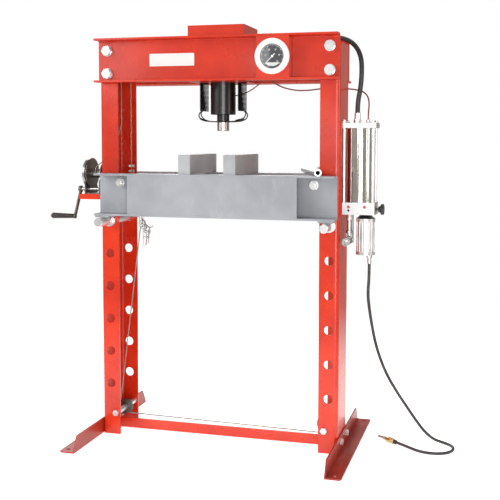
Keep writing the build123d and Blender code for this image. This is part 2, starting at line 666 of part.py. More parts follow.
with BuildPart() as winch_gear:
    toothed_wheel(gear_x, 0, WINCH_Z, GEAR_TEETH, mesh_angle, GEAR_THICK)
    rod(along_x(gear_x - 10, 0, WINCH_Z), 18, 10)
    rod(along_x(gear_x - 20, 0, WINCH_Z), SHAFT_RADIUS, 40, Mode.SUBTRACT)
    for spoke in range(5):
        angle = radians(72 * spoke)
        place = along_x(gear_x - 1, 40 * cos(angle), WINCH_Z + 40 * sin(angle))
        rod(place, 11, GEAR_THICK + 2, Mode.SUBTRACT)
finish(winch_gear, "winch_gear")

with BuildPart() as winch_pinion:
    half_tooth = 180 / PINION_TEETH
    phase = mesh_angle + 180 + half_tooth
    toothed_wheel(gear_x - 1, pinion_y, pinion_z, PINION_TEETH, phase, GEAR_THICK + 2)
    rod(along_x(gear_x - 16, pinion_y, pinion_z), SHAFT_RADIUS, inner_plate + 6 - gear_x + 16)
finish(winch_pinion, "winch_pinion")

arm_x = gear_x - 13
grip_y, grip_z = pinion_y + CRANK_Y, pinion_z + CRANK_Z
with BuildPart() as crank_arm:
    with BuildSketch(Plane(origin=(arm_x - CRANK_THICK, 0, 0), x_dir=(0, 1, 0), z_dir=(1, 0, 0))):
        with Locations((pinion_y, pinion_z)):
            Circle(15)
        with Locations((grip_y, grip_z)):
            Circle(11)
        across = Vector(-CRANK_Z, CRANK_Y).normalized() * 8
        with BuildLine():
            Polyline(
                (pinion_y + across.X, pinion_z + across.Y), (grip_y + across.X, grip_z + across.Y),
                (grip_y - across.X, grip_z - across.Y), (pinion_y - across.X, pinion_z - across.Y),
                close=True,
            )
        make_face()
    extrude(amount=CRANK_THICK)
    rod(along_x(arm_x - 20, pinion_y, pinion_z), SHAFT_RADIUS, 40, Mode.SUBTRACT)
    rod(along_x(gear_x - 16 - 8, pinion_y, pinion_z), SHAFT_RADIUS + 5, 5)
    rod(along_x(arm_x - CRANK_THICK - GRIP_LENGTH - 4, grip_y, grip_z), 5, GRIP_LENGTH + 4)
    rod(along_x(arm_x - CRANK_THICK - GRIP_LENGTH - 8, grip_y, grip_z), 8, 4)
finish(crank_arm, "crank_arm")

with BuildPart() as crank_grip:
    tip_x = arm_x - CRANK_THICK - GRIP_LENGTH - 3
    with BuildSketch(Plane(origin=(tip_x, grip_y, grip_z), x_dir=(1, 0, 0), z_dir=(0, -1, 0))):
        with BuildLine():
            Polyline(
                (0, 5.05), (0, 10), (2, 12.5), (GRIP_LENGTH - 1, 9.5), (GRIP_LENGTH, 8),
                (GRIP_LENGTH, 5.05), close=True,
            )
        make_face()
    revolve(axis=Axis((tip_x, grip_y, grip_z), (1, 0, 0)))
finish(crank_grip, "crank_grip")

# ---- pump -------------------------------------------------------------------------------------
tank_z = PUMP_Z + PUMP_BLOCK_HEIGHT
tank_x = pump_face + PUMP_BLOCK_WIDTH / 2
with BuildPart() as pump_block:
    block((pump_face, pump_face + PUMP_BLOCK_WIDTH), pump_span, (PUMP_Z, tank_z))
    fillet(pump_block.edges().filter_by(Axis.Z), 4)
    for side in sides:
        x = sorted((lever_x + side * 4.6, lever_x + side * 10))
        y = (LEVER_PIVOT_Y - 10, LEVER_PIVOT_Y + 12)
        block(x, y, (LEVER_Z - 14, PUMP_Z))
    rod(along_x(lever_x - 13, LEVER_PIVOT_Y, LEVER_Z), 5, 26, Mode.SUBTRACT)
    rod(Location((lever_x, PLUNGER_Y, PUMP_Z - 1)), 10.05, 40, Mode.SUBTRACT)
finish(pump_block, "pump_block")

with BuildPart() as pump_tank:
    rod(Location((tank_x, PUMP_Y, tank_z)), TANK_RADIUS, TANK_LENGTH)
    rod(Location((tank_x, PUMP_Y, tank_z)), TANK_RADIUS - TANK_WALL, TANK_LENGTH, Mode.SUBTRACT)
finish(pump_tank, "pump_tank")

with BuildPart() as pump_top_plate:
    plate_z = (tank_z + TANK_LENGTH, tank_z + TANK_LENGTH + TOP_PLATE_THICK)
    block((pump_face, pump_face + PUMP_BLOCK_WIDTH + 4), pump_span, plate_z)
    fillet(pump_top_plate.edges().filter_by(Axis.Z), 6)
finish(pump_top_plate, "pump_top_plate")

rod_places = [(tank_x + i * 57, PUMP_Y + j * 43) for i in sides for j in sides]
with BuildPart() as pump_tie_rods:
    for x, y in rod_places:
        rod(Location((x, y, tank_z)), ROD_RADIUS, TANK_LENGTH)
        rod(Location((x, y, pump_top)), ROD_RADIUS, 12)
        hexagon(Location((x, y, pump_top)), 15, 7)
    rod(along_x(lever_x - 13, LEVER_PIVOT_Y, LEVER_Z), 5, 26)
finish(pump_tie_rods, "pump_tie_rods")

with BuildPart() as motor_flange:
    with BuildSketch(Plane(origin=(motor_x, PUMP_Y, PUMP_Z - MOTOR_FLANGE))):
        Circle(MOTOR_RADIUS)
    with BuildSketch(Plane(origin=(motor_x, PUMP_Y, PUMP_Z))):
        Circle(18)
    loft()
finish(motor_flange, "motor_flange")

motor_z = PUMP_Z - MOTOR_FLANGE - MOTOR_LENGTH
with BuildPart() as air_motor:
    rod(Location((motor_x, PUMP_Y, motor_z)), MOTOR_RADIUS, MOTOR_LENGTH)
    for fin in range(18):
        angle = radians(20 * fin)
        x, y = motor_x + MOTOR_RADIUS * cos(angle), PUMP_Y + MOTOR_RADIUS * sin(angle)
        rod(Location((x, y, motor_z + 12)), 2.2, MOTOR_LENGTH - 24, Mode.SUBTRACT)
finish(air_motor, "air_motor")

fitting_bottom = motor_z - 36
line_start = Vector(HOUSING_WIDTH / 2 + 20, 30, crown_z + 40)
with BuildPart() as pump_fittings:
    hexagon(Location((fitting_x, PUMP_Y, motor_z - 14)), 19, 14)
    rod(Location((fitting_x, PUMP_Y, fitting_bottom)), 8, 22)
    rod(along_x(BARREL_RADIUS - 2, 0, port_z), 9, HOUSING_WIDTH / 2 - BARREL_RADIUS + 12)
    hexagon(along_x(HOUSING_WIDTH / 2 + 10, 0, port_z), 27, 18)
    rod(along_x(HOUSING_WIDTH / 2 + 28, 0, port_z), 12, 32)
    hose_x = tank_x - 12
    hexagon(Location((hose_x, PUMP_Y, pump_top)), 27, 14)
    rod(Location((hose_x, PUMP_Y, pump_top + 14)), 12, 26)
    rod(along_x(HOUSING_WIDTH / 2 - HOUSING_WALL, 30, crown_z + 40), 4.5, 32)
    hexagon(Location((tank_x + 28, PUMP_Y + 20, pump_top)), 14, 14)
finish(pump_fittings, "pump_fittings")

with BuildPart() as pump_plunger:
    rod(Location((lever_x, PLUNGER_Y, LEVER_Z + 20)), 10, PUMP_Z - LEVER_Z)
    block((lever_x - 12, lever_x + 12), (PLUNGER_Y - 8, PLUNGER_Y + 8), (LEVER_Z - 12, LEVER_Z + 28))
    slot_z = (LEVER_Z - 13, LEVER_Z + 20)
    block((lever_x - 4.6, lever_x + 4.6), (PLUNGER_Y - 9, PLUNGER_Y + 9), slot_z, Mode.SUBTRACT)
    rod(along_x(lever_x - 12, PLUNGER_Y, LEVER_Z), 4, 24)
finish(pump_plunger, "pump_plunger")

socket_y = LEVER_PIVOT_Y - SOCKET_START
with BuildPart() as pump_lever:
    block((lever_x - 4, lever_x + 4), (socket_y - 4, LEVER_PIVOT_Y + 10), (LEVER_Z - 11, LEVER_Z + 11))
    rod(along_x(lever_x - 5, LEVER_PIVOT_Y, LEVER_Z), 5 + RUNNING, 10, Mode.SUBTRACT)
    with BuildSketch(Plane(origin=(lever_x - 5, 0, 0), x_dir=(0, 1, 0), z_dir=(1, 0, 0))):
        with Locations((PLUNGER_Y - 0.5, LEVER_Z)):
            SlotCenterToCenter(5, 9.8)
    extrude(amount=10, mode=Mode.SUBTRACT)
    rod(along_y(lever_x, socket_y - SOCKET_LENGTH, LEVER_Z), 15, SOCKET_LENGTH)
    mouth = along_y(lever_x, socket_y - SOCKET_LENGTH - 1, LEVER_Z)
    rod(mouth, SOCKET_BORE, SOCKET_LENGTH - 5, Mode.SUBTRACT)
finish(pump_lever, "pump_lever")

knob_x = pump_face + PUMP_BLOCK_WIDTH
with BuildPart() as release_knob:
    with BuildSketch(Plane(origin=(knob_x, PUMP_Y, PUMP_Z + 20), x_dir=(1, 0, 0), z_dir=(0, -1, 0))):
        with BuildLine():
            Polyline(
                (0.3, 0), (0.3, 5), (9, 5), (9, 12), (16, 13), (19, 20), (21, 22), (29, 22),
                (31, 19), (31, 0), close=True,
            )
        make_face()
    revolve(axis=Axis((knob_x, PUMP_Y, PUMP_Z + 20), (1, 0, 0)))
finish(release_knob, "release_knob")

# ---- cables -----------------------------------------------------------------------------------
anchor_z = bed_z - ANCHOR_DROP


def straight_cable(start, end):
    """One tight run of cable between two points."""
    run = Vector(*end) - Vector(*start)
    with BuildSketch(Plane(origin=start, z_dir=run)) as section:
        Circle(CABLE_RADIUS)
    extrude(section.sketch, amount=run.length)


with BuildPart() as lift_cables:
    for side in sides:
        straight_cable((side * lift_x, 0, guide_z + GUIDE_RADIUS + 1), (side * lift_x, 0, TOP_PULLEY_Z))
finish(lift_cables, "lift_cables")

left_run_x = low_pulley_x[-1] - LOW_LEFT_TURN
with BuildPart() as pull_cable:
    straight_cable((anchor_x, 0, anchor_z - 1), (left_run_x, 0, LOW_PULLEY_Z + 1))
finish(pull_cable, "pull_cable")

# the fixed runs: under both lower pulleys and over the right upper one, and from the winch drum
# over the left upper one
slack = 0.1  # leaves each arc a short straight lead-in
over_left, over_right = (TOP_PULLEY_Z + top_turn[side] for side in sides)
dip = asin((LOW_RIGHT_TURN - LOW_LEFT_TURN) / (low_pulley_x[1] - low_pulley_x[-1]))  # slope of the floor run
under_left, under_right = (LOW_PULLEY_Z - low_turn[s] * tan(pi / 4 + s * dip / 2) for s in sides)
outer_x = lift_x + 2 * TOP_LEFT_TURN
drum_side = DRUM_RADIUS + CABLE_RADIUS + GROOVE_GAP
drum_cable_x = drum_start + 25
CROSS_ROUTE = [
    (left_run_x, 0, LOW_PULLEY_Z), (left_run_x, 0, under_left), (right_run_x, 0, under_right),
    (right_run_x, 0, over_right), (lift_x, 0, over_right), (lift_x, 0, TOP_PULLEY_Z),
]
CROSS_TURNS = (low_turn[-1] - slack, low_turn[1] - slack, top_turn[1] - slack, top_turn[1] - slack)
WINCH_ROUTE = [
    (-lift_x, 0, TOP_PULLEY_Z), (-lift_x, 0, over_left), (-outer_x, 0, over_left), (-outer_x, 0, 1330),
    (-post_x + 14, 0, 1215), (-post_x - 32, -12, 1168), (drum_cable_x + 4, -drum_side, 1144),
    (drum_cable_x, -drum_side, WINCH_Z),
]
WINCH_TURNS = (top_turn[-1] - slack, top_turn[-1] - slack, 60, 30, 30, 20)
with BuildPart() as fixed_cables:
    for points, turns in ((CROSS_ROUTE, CROSS_TURNS), (WINCH_ROUTE, WINCH_TURNS)):
        with BuildLine() as run:
            FilletPolyline(*points, radius=turns)
        with BuildSketch(Plane(origin=points[0], z_dir=Vector(*points[1]) - Vector(*points[0]))):
            Circle(CABLE_RADIUS)
        sweep(path=run.wires()[0])
finish(fixed_cables, "fixed_cables")

with BuildPart() as cable_anchor:
    block((anchor_x - 20, anchor_x + 20), (-bed_web, bed_web), (bed_z, bed_z + 10))
    rod(Location((anchor_x, 0, anchor_z)), 6, ANCHOR_DROP)
    rod(Location((anchor_x + 32, 0, bed_z - 132)), 5, 65)
    rod(Location((anchor_x + 12, 0, bed_z - 150)), CABLE_RADIUS, 150)
finish(cable_anchor, "cable_anchor")

# ---- hoses ------------------------------------------------------------------------------------
beyond = post_x + 44  # where the pressure hose comes down
HOSE_POINTS = [
    (HOUSING_WIDTH / 2 + 60, 0, port_z), (HOUSING_WIDTH / 2 + 142, 0, port_z),
    (post_x - 160, -6, port_z - 3), (post_x - 76, -14, port_z + 3),
    (post_x - 6, -20, port_z + 2), (beyond, -28, port_z - 26),
    (beyond + 28, -35, port_z - 77), (beyond + 31, -40, port_z - 146),
    (beyond + 26, -41, port_z - 206), (hose_x, PUMP_Y, pump_top + 84),
    (hose_x, PUMP_Y, pump_top + 40),
]
hydraulic_hose = hose(HOSE_POINTS, HOSE_RADIUS, "hydraulic_hose")
finish(hydraulic_hose, "hydraulic_hose")

line_x = tank_x + 28
LINE_POINTS = [
    (HOUSING_WIDTH / 2 + 20, 30, crown_z + 40), (160, 30, crown_z + 40), (180, 34, crown_z + 30),
    (198, 46, crown_z + 8), (230, 70, crown_z - 16), (285, 92, crown_z - 30),
    (post_x - 172, 106, crown_z - 30), (post_x - 117, 115, crown_z - 22),
    (post_x - 62, 119, crown_z - 20), (post_x - 9, 113, crown_z - 24),
    (post_x + 36, 92, crown_z - 30), (post_x + 72, 60, crown_z - 42),
    (post_x + 94, 26, crown_z - 66), (post_x + 101, -4, crown_z - 100),
    (line_x, PUMP_Y + 20, pump_top + 46), (line_x, PUMP_Y + 20, pump_top + 14),
]
return_line = hose(LINE_POINTS, LINE_RADIUS, "return_line")
finish(return_line, "return_line")

# the air hose: how far each point is to the right of the motor's fitting, then Y and Z
AIR_SHAPE = [
    (0, PUMP_Y, fitting_bottom), (0, PUMP_Y, fitting_bottom - 60), (-5, PUMP_Y, 650),
    (1, -36, 590), (10, -26, 525), (22, -10, 450), (41, 10, 376), (67, 32, 304),
    (103, 56, 234), (145, 82, 162), (183, 106, 98), (215, 127, 50), (250, 144, 16),
    (294, 141, AIR_RADIUS), (328, 112, AIR_RADIUS), (338, 68, AIR_RADIUS),
    (321, 26, AIR_RADIUS), (282, 1, AIR_RADIUS), (237, -1, AIR_RADIUS),
    (195, 15, AIR_RADIUS), (163, 42, AIR_RADIUS), (135, 64, AIR_RADIUS + 1),
    (103, 78, AIR_RADIUS + 5),
]
AIR_POINTS = [(fitting_x + x, y, z) for x, y, z in AIR_SHAPE]
air_hose = hose(AIR_POINTS, AIR_RADIUS, "air_hose")
finish(air_hose, "air_hose")

end = Vector(*AIR_POINTS[-1])
out = (end - Vector(*AIR_POINTS[-2])).normalized()
with BuildPart() as hose_coupling:
    place = Plane(origin=end, z_dir=out)
    for start, radius, length in ((0, 9, 12), (12, 12, 34), (46, 9, 8), (54, 5.5, 34), (60, 8, 1)):
        rod(place.offset(start).location, radius, length)
finish(hose_coupling, "hose_coupling")
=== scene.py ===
# %% [markdown]
# # A hydraulic shop press
# The press is a red steel gate with a hanging cylinder, a pinned bed that a hand winch lifts on
# cables, and an air-driven pump on the right upright. The solid parts come from the packed
# model. This lesson gives them their finishes and makes the pieces that a solid can only stand
# in for: coil springs, twisted steel cable, hoses, weld beads, cable clips and the dial.

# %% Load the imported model
import math
import random

import bmesh
import bpy
from mathutils import Matrix, Vector


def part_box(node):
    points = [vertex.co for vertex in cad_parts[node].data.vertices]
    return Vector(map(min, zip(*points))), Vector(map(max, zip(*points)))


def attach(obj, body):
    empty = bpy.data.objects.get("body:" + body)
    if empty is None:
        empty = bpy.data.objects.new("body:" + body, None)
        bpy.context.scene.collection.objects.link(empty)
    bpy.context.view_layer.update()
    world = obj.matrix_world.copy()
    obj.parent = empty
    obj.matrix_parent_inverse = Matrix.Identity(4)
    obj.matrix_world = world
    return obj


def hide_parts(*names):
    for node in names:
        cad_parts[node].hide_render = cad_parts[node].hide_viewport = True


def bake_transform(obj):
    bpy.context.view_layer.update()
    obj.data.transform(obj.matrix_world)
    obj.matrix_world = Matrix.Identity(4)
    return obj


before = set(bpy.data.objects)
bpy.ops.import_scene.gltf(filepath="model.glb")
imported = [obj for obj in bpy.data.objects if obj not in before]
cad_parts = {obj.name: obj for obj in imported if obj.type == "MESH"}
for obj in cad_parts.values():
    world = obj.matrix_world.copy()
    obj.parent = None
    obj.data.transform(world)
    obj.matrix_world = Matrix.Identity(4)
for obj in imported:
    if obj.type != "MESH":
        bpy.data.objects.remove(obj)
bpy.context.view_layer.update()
MM = 0.001

# %% [markdown]
# ## Camera
# The camera stands to the right of the press, a little above its bed, and looks slightly down.
# A long lens keeps the uprights almost parallel, as in a catalogue picture.

# %% Camera
CAMERA_PLACE = Vector((1.1504, -3.5955, 1.2646))
CAMERA_YAW = math.radians(15.079)
CAMERA_PITCH = math.radians(3.844)
CAMERA_ROLL = math.radians(0.137)
camera_data = bpy.data.cameras.new("camera")
camera_data.sensor_width = 36
camera_data.lens = 64.71
camera_data.shift_x = -0.03
camera_data.shift_y = -0.1
camera = bpy.data.objects.new("camera", camera_data)
bpy.context.scene.collection.objects.link(camera)
forward = Vector((
    -math.sin(CAMERA_YAW) * math.cos(CAMERA_PITCH),
    math.cos(CAMERA_YAW) * math.cos(CAMERA_PITCH),
    -math.sin(CAMERA_PITCH),
))
turn = forward.to_track_quat("-Z", "Y").to_matrix() @ Matrix.Rotation(CAMERA_ROLL, 3, "Z")
camera.rotation_euler = turn.to_euler()
camera.location = CAMERA_PLACE
bpy.context.scene.camera = camera

# %% [markdown]
# ## Hoses
# A hose is one smooth line with a round section, so a NURBS curve with a bevel is the natural
# way to make it: a few points steer the whole length and no corner can show. The air hose
# hangs from the motor, sweeps out behind the press and comes back along the floor in one loop.
# The pressure hose and the thin oil line are held at both ends.

# %% Hoses
AIR_HOSE = [
    (625, -40, 772), (625, -40, 712), (620, -40, 650), (626, -36, 590), (635, -26, 525),
    (647, -10, 450), (666, 10, 376), (692, 32, 304), (728, 56, 234), (770, 82, 162),
    (808, 106, 98), (840, 127, 50), (875, 144, 16), (919, 141, 6), (953, 112, 6),
    (963, 68, 6), (946, 26, 6), (907, 1, 6), (862, -1, 6), (820, 15, 6), (788, 42, 6),
    (760, 64, 7), (728, 78, 11),
]
PRESSURE_HOSE = [
    (180, 0, 1670), (262, 0, 1670), (352, -6, 1667), (436, -14, 1673), (506, -20, 1672),
    (557, -28, 1644), (585, -35, 1593), (588, -40, 1524), (583, -41, 1464),
    (572.5, -40, 1415), (572.5, -40, 1371),
]
OIL_LINE = [
    (140, 30, 1540), (160, 30, 1540), (180, 34, 1530), (198, 46, 1508), (230, 70, 1484),
    (285, 92, 1470), (340, 106, 1470), (395, 115, 1478), (450, 119, 1480), (503, 113, 1476),
    (548, 92, 1470), (584, 60, 1458), (606, 26, 1434), (613, -4, 1400), (612.5, -20, 1377),
    (612.5, -20, 1345),
]


def smooth_line(name, points, radius, sides=6):
    """A NURBS curve in metres through a route in millimetres, with a round section."""
    data = bpy.data.curves.new(name, "CURVE")
    data.dimensions = "3D"
    data.resolution_u = 12
    data.bevel_depth = radius
    data.bevel_resolution = sides
    data.use_fill_caps = True
    spline = data.splines.new("NURBS")
    spline.points.add(len(points) - 1)
    for slot, spot in zip(spline.points, points):
        slot.co = (*(Vector(spot) * MM), 1)
    spline.order_u = 3
    spline.use_endpoint_u = True
    shape = bpy.data.objects.new(name, data)
    bpy.context.scene.collection.objects.link(shape)
    return shape


def line_length(points):
    """The length of the smooth line through a route, from the same curve with no section."""
    bare = smooth_line("measure", points, 0)
    mesh = bpy.data.meshes.new_from_object(bare)
    length = sum((mesh.vertices[a].co - mesh.vertices[b].co).length for a, b in mesh.edge_keys)
    bpy.data.objects.remove(bare)
    bpy.data.meshes.remove(mesh)
    return length


air_hose = smooth_line("air_hose_smooth", AIR_HOSE, 6 * MM)
pressure_hose = smooth_line("pressure_hose_smooth", PRESSURE_HOSE, 9.5 * MM)
oil_line = smooth_line("oil_line_smooth", OIL_LINE, 3 * MM, 4)
air_length = line_length(AIR_HOSE)
print("air hose", round(air_length, 3), "m")

# %% [markdown]
# ## Shader maths
# Wiring a pattern by hand takes many nodes, so one small class wraps an output socket and turns
# Python's operators into Math nodes. A second class holds a material and adds any other node
# from its type, its settings and its inputs.

# %% Shader helpers


class Value:
    """An output socket that can be used in arithmetic."""

    def __init__(self, finish, socket):
        self.finish, self.socket = finish, socket

    def math(self, operation, *values):
        return self.finish.node("ShaderNodeMath", {"operation": operation}, values)

    def __add__(self, other):
        return self.math("ADD", self, other)

    __radd__ = __add__

    def __sub__(self, other):
        return self.math("SUBTRACT", self, other)

    def __rsub__(self, other):
        return self.math("SUBTRACT", other, self)

    def __mul__(self, other):
        return self.math("MULTIPLY", self, other)

    __rmul__ = __mul__

    def __truediv__(self, other):
        return self.math("DIVIDE", self, other)

    def __lt__(self, other):
        return self.math("LESS_THAN", self, other)

    def __gt__(self, other):
        return self.math("GREATER_THAN", self, other)

    def __mod__(self, other):
        return self.math("FLOORED_MODULO", self, other)


class Finish:
    """A procedural material that is built node by node on object coordinates."""

    def __init__(self, name, **settings):
        self.data = bpy.data.materials.new(name)
        self.data.use_nodes = True
        self.tree = self.data.node_tree
        self.shader = self.tree.nodes["Principled BSDF"]
        for word, value in settings.items():
            self.shader.inputs[word.replace("_", " ").title()].default_value = value
        self.place = self.node("ShaderNodeTexCoord", {}, (), "Object")

    def node(self, kind, settings, inputs, output=0):
        made = self.tree.nodes.new(kind)
        stops = settings.pop("stops", None)
        for word, value in settings.items():
            setattr(made, word, value)
        if stops:
            ramp = made.color_ramp.elements
            for element, (spot, shade) in zip((ramp[0], ramp[1]), (stops[0], stops[-1])):
                element.position, element.color = spot, (*shade, 1)
            for spot, shade in stops[1:-1]:
                ramp.new(spot).color = (*shade, 1)
        rows = inputs.items() if isinstance(inputs, dict) else enumerate(inputs)
        for slot, value in rows:
            if isinstance(value, Value):
                self.tree.links.new(value.socket, made.inputs[slot])
            else:
                made.inputs[slot].default_value = value
        return Value(self, made.outputs[output])

    def axes(self):
        """The three object coordinates, each as a value."""
        split = self.node("ShaderNodeSeparateXYZ", {}, (self.place,))
        return [Value(self, socket) for socket in split.socket.node.outputs]

    def stretched(self, scale, move=(0, 0, 0)):
        """Object coordinates moved and scaled."""
        inputs = {"Vector": self.place, "Location": move, "Scale": scale}
        return self.node("ShaderNodeMapping", {}, inputs)

    def noise(self, scale, detail=3, vector=None, rough=0.5):
        place = vector or self.place
        inputs = {"Vector": place, "Scale": scale, "Detail": detail, "Roughness": rough}
        return self.node("ShaderNodeTexNoise", {}, inputs, "Fac")

    def ramp(self, value, *stops):
        """A grey value between stops of (place, level)."""
        shades = [(spot, (level,) * 3) for spot, level in stops]
        return self.node("ShaderNodeValToRGB", {"stops": shades}, (value,))

    def mix(self, factor, first, second):
        """A colour mix; a plain colour is three numbers."""
        colours = [c if isinstance(c, Value) else (*c, 1) for c in (first, second)]
        inputs = {"Factor": factor, 6: colours[0], 7: colours[1]}
        return self.node("ShaderNodeMix", {"data_type": "RGBA"}, inputs, 2)

    def set(self, word, value):
        self.tree.links.new(value.socket, self.shader.inputs[word])

    def bump(self, height, depth, strength=1.0):
        inputs = {"Height": height, "Distance": depth, "Strength": strength}
        self.set("Normal", self.node("ShaderNodeBump", {}, inputs, "Normal"))


def colours(finish, base, tones, scale=9, detail=4):
    """A slow drift of colour from one tone to another round a base."""
    drift = finish.ramp(finish.noise(scale, detail), (0.35, 0), (0.65, 1))
    moved = finish.stretched((1, 1, 1), (3, 1, 7))
    cloud = finish.ramp(finish.noise(scale * 0.31, 2, moved), (0.3, 0), (0.7, 1))
    return finish.mix(cloud, finish.mix(drift, tones[0], base), finish.mix(drift, base, tones[1]))


# %% [markdown]
# ## Paint
# The gate is sprayed with a glossy red enamel. Sprayed paint has a fine orange-peel skin, a
# slight cloudiness, dull rub marks and a thin film of dust, so noise at three scales drives
# colour, roughness and bump. The feet have the same enamel, duller, with a darker colour that
# is painted shade. The bed has a satin grey paint that is scuffed by the work laid on it.

# %% Painted finishes


def painted(name, base, tones, rough, coat, scuff_colour, scuff_level=0.62):
    """Sprayed paint with cloudiness, scuffs and an orange-peel skin."""
    paint = Finish(name, coat_roughness=0.1)
    rubs = paint.noise(38, 8, paint.stretched((1, 1, 0.35)), 0.7)
    scuffs = paint.ramp(rubs, (scuff_level, 0), (scuff_level + 0.1, 1))
    patches = paint.ramp(paint.noise(5, 3), (0.45, 0), (0.7, 1))
    worn = scuffs * patches
    paint.set("Base Color", paint.mix(worn * 0.55, colours(paint, base, tones), scuff_colour))
    paint.set("Roughness", rough + worn * 0.25 + paint.noise(14, 3) * 0.08)
    paint.set("Coat Weight", coat - worn * coat * 0.8)
    peel = paint.noise(420, 2) + paint.noise(60, 2) * 0.8
    paint.bump(peel, 0.0001, 0.3)
    return paint


red_paint = painted(
    "red enamel", (0.6, 0.024, 0.004), [(0.5, 0.017, 0.003), (0.7, 0.038, 0.008)],
    0.24, 0.15, (0.42, 0.05, 0.035),
)
# The feet's darker base colour is painted shade; the enamel is also rougher.
shaded_foot_paint = painted(
    "red enamel with painted shade", (0.36, 0.022, 0.008), [(0.27, 0.018, 0.008), (0.45, 0.032, 0.012)],
    0.34, 0.1, (0.25, 0.05, 0.035), 0.54,
)
grey_paint = painted(
    "grey bed paint", (0.32, 0.335, 0.365), [(0.27, 0.285, 0.31), (0.38, 0.395, 0.43)],
    0.36, 0.15, (0.5, 0.51, 0.52), 0.56,
)
block_paint = painted(
    "press block paint", (0.4, 0.41, 0.43), [(0.34, 0.35, 0.37), (0.47, 0.48, 0.5)],
    0.42, 0.1, (0.52, 0.52, 0.52), 0.54,
)
black_paint = painted(
    "black enamel", (0.006, 0.006, 0.007), [(0.004, 0.004, 0.005), (0.012, 0.012, 0.013)],
    0.22, 0.1, (0.03, 0.03, 0.03), 0.66,
)
white_paint = painted(
    "white label", (0.83, 0.83, 0.82), [(0.78, 0.78, 0.77), (0.88, 0.88, 0.88)],
    0.3, 0.2, (0.7, 0.69, 0.66), 0.66,
)
case_white = painted(
    "gauge white", (0.8, 0.81, 0.82), [(0.74, 0.75, 0.76), (0.86, 0.87, 0.88)],
    0.24, 0.4, (0.6, 0.6, 0.58), 0.68,
)
print("painted finishes ready")

# %% [markdown]
# ## Metal
# Bare metal gets its character from the tool that finished it. Turned and drawn steel has fine
# lines along or round the part, zinc plate has a soft crystalline mottle, and cast or dull
# parts are rough and dark. Stretching one noise makes the lines.

# %% Metal finishes


def metal(name, base, tones, rough, grain=(1, 1, 1), grain_scale=260, depth=0.0001,
          stain=(0.2, 0.16, 0.12)):
    """Bare or plated metal with a tool grain and faint stains."""
    steel = Finish(name, metallic=1.0)
    lines = steel.noise(grain_scale, 4, steel.stretched(grain))
    stains = steel.ramp(steel.noise(11, 6, rough=0.65), (0.58, 0), (0.78, 1))
    tone = colours(steel, base, tones, 24)
    steel.set("Base Color", steel.mix(stains * 0.35, tone, stain))
    steel.set("Roughness", rough + lines * 0.12 + stains * 0.2)
    steel.bump(lines + steel.noise(70, 3) * 0.6, depth, 0.25)
    return steel


zinc_plate = metal("bright zinc", (0.78, 0.79, 0.8), [(0.68, 0.7, 0.72), (0.86, 0.86, 0.84)], 0.3)
dull_zinc = metal(
    "dull zinc", (0.2, 0.195, 0.185), [(0.14, 0.135, 0.13), (0.28, 0.27, 0.25)], 0.38,
)
gear_steel = metal(
    "gear steel", (0.42, 0.42, 0.41), [(0.32, 0.32, 0.31), (0.5, 0.5, 0.49)], 0.3, (1, 1, 1), 180,
)
crank_steel = metal(
    "dark crank steel", (0.17, 0.155, 0.13), [(0.11, 0.1, 0.085), (0.24, 0.22, 0.19)], 0.36,
)
turned_steel = metal(
    "turned steel", (0.55, 0.55, 0.54), [(0.44, 0.44, 0.43), (0.64, 0.64, 0.63)], 0.24,
    (0.15, 0.15, 6), 200,
)
handle_steel = metal(
    "handle tube", (0.62, 0.62, 0.61), [(0.5, 0.5, 0.49), (0.7, 0.7, 0.7)], 0.3, (0.3, 0.3, 0.3),
)
pulley_iron = metal(
    "pulley iron", (0.16, 0.15, 0.14), [(0.1, 0.095, 0.09), (0.22, 0.2, 0.18)], 0.45,
)
aluminium = metal(
    "machined aluminium", (0.76, 0.76, 0.77), [(0.68, 0.68, 0.7), (0.84, 0.84, 0.84)], 0.28,
    (1, 1, 5), 160, stain=(0.45, 0.44, 0.42),
)
tank_chrome = metal(
    "polished tank", (0.74, 0.72, 0.69), [(0.66, 0.64, 0.6), (0.8, 0.79, 0.77)], 0.07,
    (0.2, 0.2, 9), 140, 0.00003, (0.4, 0.36, 0.3),
)
brass = metal("brass", (0.58, 0.44, 0.2), [(0.46, 0.33, 0.14), (0.66, 0.52, 0.28)], 0.26)
spring_black = metal(
    "spring black", (0.014, 0.014, 0.015), [(0.008, 0.008, 0.009), (0.03, 0.03, 0.03)], 0.42,
)
print("metal finishes ready")

# %% [markdown]
# ## Rubber and plastic
# Hose covers and moulded grips are not shiny: they have a fine grain, a little dust and a
# slightly lighter rubbed side. The pressure hose has a wrapped cover, whose faint diagonal
# lines come from a wave pattern.

# %% Rubber and plastic finishes


def moulded(name, base, dust, rough=0.5, grain=700, wrap=0):
    """Rubber or plastic with a fine grain, dust and, for a hose, a wrapped cover."""
    skin = Finish(name)
    speck = skin.ramp(skin.noise(90, 6, rough=0.7), (0.5, 0), (0.8, 1))
    skin.set("Base Color", skin.mix(speck * 0.4, colours(skin, base, [base, dust], 30), dust))
    skin.set("Roughness", rough + speck * 0.2)
    height = skin.noise(grain, 2)
    if wrap:
        wave = skin.node("ShaderNodeTexWave", {"bands_direction": "DIAGONAL"},
                         {"Vector": skin.place, "Scale": wrap, "Distortion": 0.0}, "Fac")
        height = height * 0.4 + wave
    skin.bump(height, 0.00018, 0.5)
    return skin


hose_rubber = moulded("hose rubber", (0.012, 0.012, 0.013), (0.05, 0.05, 0.05), 0.42, 700, 90)
air_rubber = moulded("air hose rubber", (0.014, 0.014, 0.015), (0.06, 0.058, 0.055), 0.38)
line_brown = moulded("oil line cover", (0.2, 0.035, 0.02), (0.28, 0.1, 0.07), 0.4)
grip_brown = moulded("grip plastic", (0.012, 0.006, 0.004), (0.04, 0.026, 0.02), 0.34, 300)
knob_black = moulded("knob plastic", (0.014, 0.014, 0.015), (0.06, 0.06, 0.06), 0.35)
plug_red = moulded("red plug", (0.5, 0.02, 0.015), (0.6, 0.1, 0.08), 0.35)

